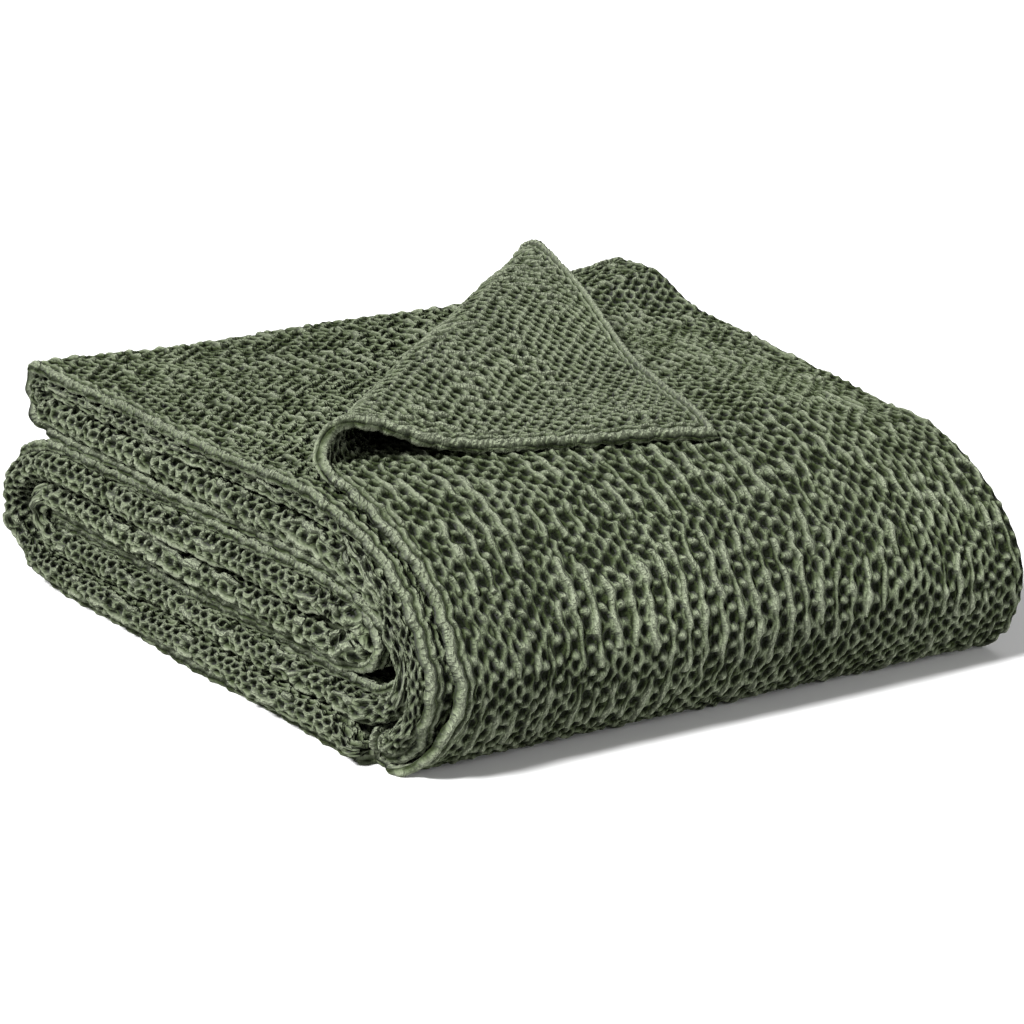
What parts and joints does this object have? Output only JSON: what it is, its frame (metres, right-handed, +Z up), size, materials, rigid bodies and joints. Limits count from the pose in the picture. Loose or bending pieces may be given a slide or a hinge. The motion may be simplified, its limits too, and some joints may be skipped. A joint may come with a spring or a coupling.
{
  "type": "folded bedspread",
  "caption": "Thick honeycomb-woven bedspread folded and wound into a flat square bundle, with its outer corner turned back over the top.",
  "frame": {"origin": "middle of the box round the bundle, on the surface that it lies on", "axes": "+X to the right along the rounded front fold, +Y to the back, +Z up"},
  "size_m": [0.4588, 0.5176, 0.1916],
  "materials": {
    "cloth": "dry stone-washed cotton in a greyed sage green, open honeycomb weave"
  },
  "bodies": {
    "root": {"bedspread": "cloth"}
  },
  "joints": []
}
